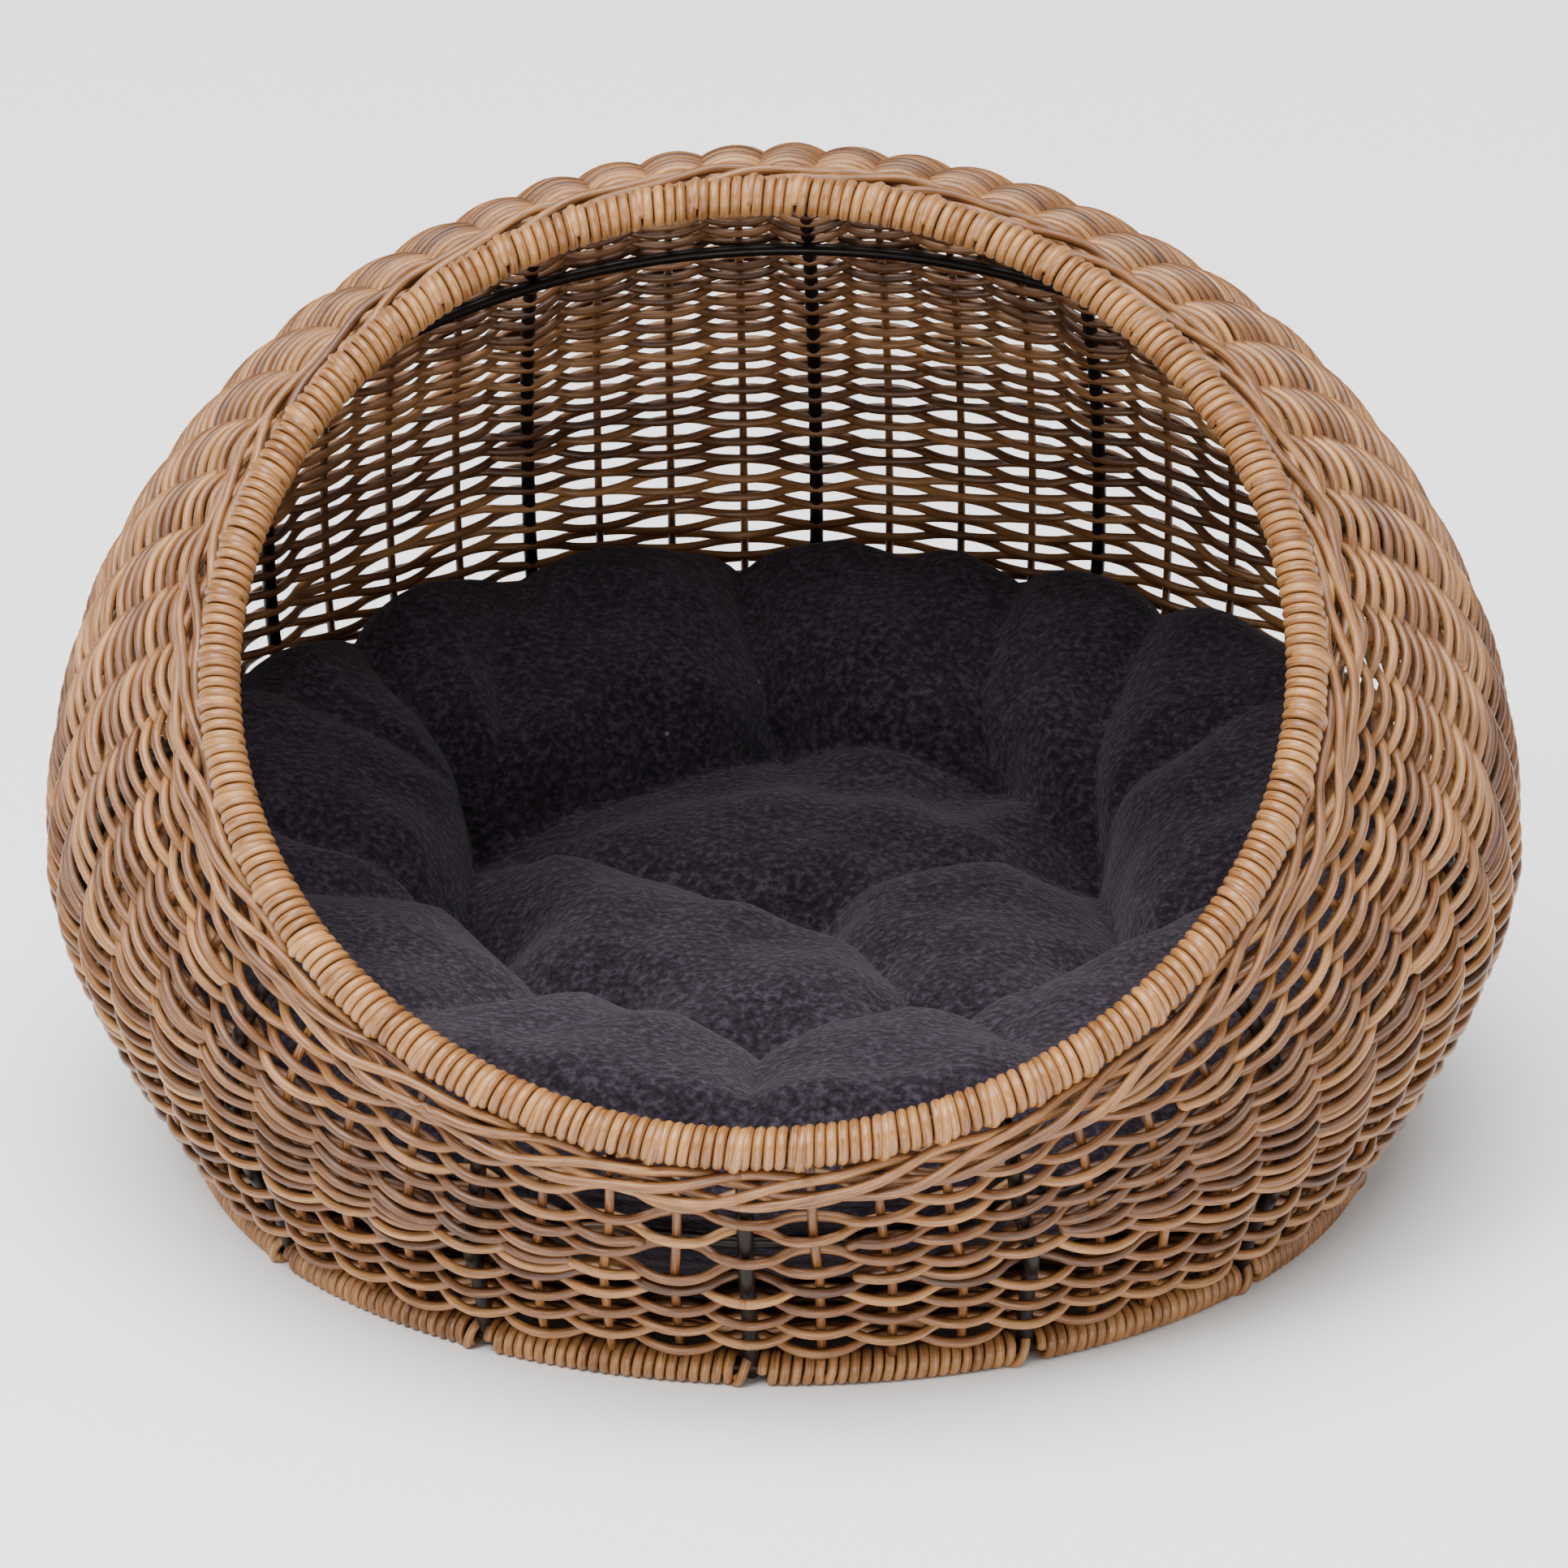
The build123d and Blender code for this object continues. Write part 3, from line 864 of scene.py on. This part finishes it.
def toFold(x, y, start, end, bow):
    # distance to a gently bowed line between two places
    ax, ay = start
    bx, by = end
    long = sqrt((bx - ax) ** 2 + (by - ay) ** 2)
    share = np.clip(((x - ax) * (bx - ax) + (y - ay) * (by - ay)) / long ** 2, 0, 1)
    bend = bow * np.sin(pi * share) / long
    awayX = x - ax - share * (bx - ax) + bend * (by - ay)
    awayY = y - ay - share * (by - ay) - bend * (bx - ax)
    return np.hypot(awayX, awayY)


def plainCushion(v):
    # the cushion before its folds, by turn and then along v from underneath to the top
    look = cushionLook
    around = np.linspace(0, 2 * pi, look["around"], endpoint=False)
    atBack = np.clip(0.5 - 0.62 * np.cos(around), 0, 1)
    crests = look["frontCrest"] + (look["backCrest"] - look["frontCrest"]) * atBack
    knots = np.array([0, 0.16, 0.26, 0.40, 0.52, 0.62, 0.74, 0.86, 1.0])
    foot = look["foot"]
    seat = look["seat"]
    radii = [
        0.0, look["footRadius"] * 0.85, look["footRadius"] + 0.022,
        look["outer"] - 0.006, look["outer"] - 0.002,
        look["crestRadius"] + 0.014, look["crestRadius"] - 0.060, 0.105, 0.0,
    ]
    r = smoothCurve(knots, radii, v)
    z = []
    for crest in crests:
        levels = [
            foot, foot, foot + 0.022, 0.084, crest - 0.030,
            crest, (crest + seat) / 2 + 0.004, seat + 0.002, seat,
        ]
        z.append(smoothCurve(knots, levels, v))
    x = r * np.sin(around)[:, None]
    y = -r * np.cos(around)[:, None]
    return np.stack([x, y, np.array(z)], -1)


def foldLift(x, y, v):
    # how far the folds, the pinched places and the wrinkles lift or sink the cushion's skin
    look = cushionLook
    near = np.full(x.shape, 1.0)
    for start, end, shallow in folds:
        if end in tufts:
            away = toFold(x, y, tufts[start], tufts[end], 0.006)
        else:
            turn = radians(end)
            away = toFold(x, y, tufts[start], (sin(turn) * 0.30, -cos(turn) * 0.30), 0.010)
        near = np.minimum(near, away + shallow)
    puff = 0.72 * np.tanh(near / look["creaseWidth"]) + 0.28 * np.tanh(near / look["pinchWidth"])
    dip = np.zeros_like(x)
    for tuftX, tuftY in tufts.values():
        apart = (x - tuftX) ** 2 + (y - tuftY) ** 2
        dip = np.maximum(dip, np.exp(-apart / look["tuftWidth"] ** 2))
    wrinkle = sum(np.sin(x * across + y * along + start) for across, along, start in wrinkles)
    calmCrest = 1 - 0.42 * np.exp(-((v - 0.60) / 0.09) ** 2)
    onTop = np.clip((v - 0.42) / 0.12, 0, 1)
    folded = (puff - 0.80) * look["puff"] * calmCrest
    return (folded - dip * look["tuftDip"] + wrinkle * look["wrinkle"]) * onTop


def cushionPiece():
    v = np.linspace(0, 1, cushionLook["profile"])
    points = plainCushion(v)
    ahead = (np.roll(points, -1, 0) - np.roll(points, 1, 0)) / 2
    outward = unit(np.cross(ahead, np.gradient(points, axis=1)))
    points = points + outward * foldLift(points[..., 0], points[..., 1], v)[..., None]
    skin = points[:, 1:-1]
    count, inner = skin.shape[:2]
    columns = np.arange(count)[:, None] * inner
    nextColumns = np.roll(columns, -1, 0)
    rows = np.arange(inner - 1)[None]
    corners = [columns + rows, nextColumns + rows, nextColumns + rows + 1, columns + rows + 1]
    quads = np.stack(corners, -1).reshape(-1, 4)
    first = columns[:, 0]
    second = nextColumns[:, 0]
    bottom = np.full(count, count * inner)
    bottomFan = np.stack([second, first, bottom], -1)
    topFan = np.stack([first + inner - 1, second + inner - 1, bottom + 1], -1)
    ends = np.stack([points[:, 0].mean(0), points[:, -1].mean(0)])
    middle = np.array([0, bodyCentre[1], 0])
    corners = np.vstack([skin.reshape(-1, 3), ends]) + middle
    return meshFrom("fleece_cushion", corners, [quads, bottomFan, topFan], {})


cushionMade = cushionPiece()
cushionMade.data.materials.append(fleece)
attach(cushionMade, "cushion")
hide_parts("cushion_cover", "cushion_filling")
print("cushion made")

ground = {"half": 30.0, "white": (0.90, 0.90, 0.90, 1), "rough": 0.9}
# kind, place, size and power; a sun's size is its angle
lights = {
    "broad_light": ("SUN", (-0.15, -0.42, 2.0), 0.9, 6.8),
    "key_light": ("AREA", (-0.9, -1.5, 1.9), 0.7, 40),
    "side_light": ("AREA", (1.7, -1.0, 1.3), 0.9, 9),
    "low_light": ("AREA", (0.1, -2.1, 0.06), 0.5, 24),
}
room = {"light": (1, 1, 1, 1), "strength": 0.36, "aim": (0, 0, 0.15)}
view = {
    "elevation": radians(21.8), "yaw": radians(2.94), "distance": 2.320,
    "lens": 135.4, "sensor": 36.0, "rise": 0.0177,
}


def stagePiece():
    half = ground["half"]
    mesh = bpy.data.meshes.new("ground")
    corners = [(-half, -half, 0), (half, -half, 0), (half, half, 0), (-half, half, 0)]
    mesh.from_pydata(corners, [], [(0, 1, 2, 3)])
    groundFinish = Finish("ground_white")
    mesh.materials.append(groundFinish.surface(Base_Color=ground["white"], Roughness=ground["rough"]))
    piece = bpy.data.objects.new("ground", mesh)
    bpy.context.scene.collection.objects.link(piece)
    return piece


def lightRoom():
    world = bpy.data.worlds.new("soft_room")
    bpy.context.scene.world = world
    world.use_nodes = True
    background = world.node_tree.nodes["Background"]
    background.inputs["Color"].default_value = room["light"]
    background.inputs["Strength"].default_value = room["strength"]
    for name, (kind, place, size, power) in lights.items():
        lamp = bpy.data.lights.new(name, kind)
        lamp.energy = power
        if kind == "SUN":
            lamp.angle = size
        else:
            lamp.size = size
        holder = bpy.data.objects.new(name, lamp)
        holder.location = place
        holder.rotation_euler = (Vector(room["aim"]) - Vector(place)).to_track_quat("-Z", "Y").to_euler()
        bpy.context.scene.collection.objects.link(holder)


def placeCamera():
    camera = bpy.data.cameras.new("camera")
    camera.lens = view["lens"]
    camera.sensor_width = view["sensor"]
    holder = bpy.data.objects.new("camera", camera)
    level = cos(view["elevation"])
    back = Vector((sin(view["yaw"]) * level, -cos(view["yaw"]) * level, sin(view["elevation"])))
    target = Vector(bodyCentre) + Vector((0, 0, view["rise"]))
    holder.location = target + back * view["distance"]
    holder.rotation_euler = (-back).to_track_quat("-Z", "Y").to_euler()
    bpy.context.scene.collection.objects.link(holder)
    bpy.context.scene.camera = holder


stagePiece()
lightRoom()
placeCamera()
print("scene ready")
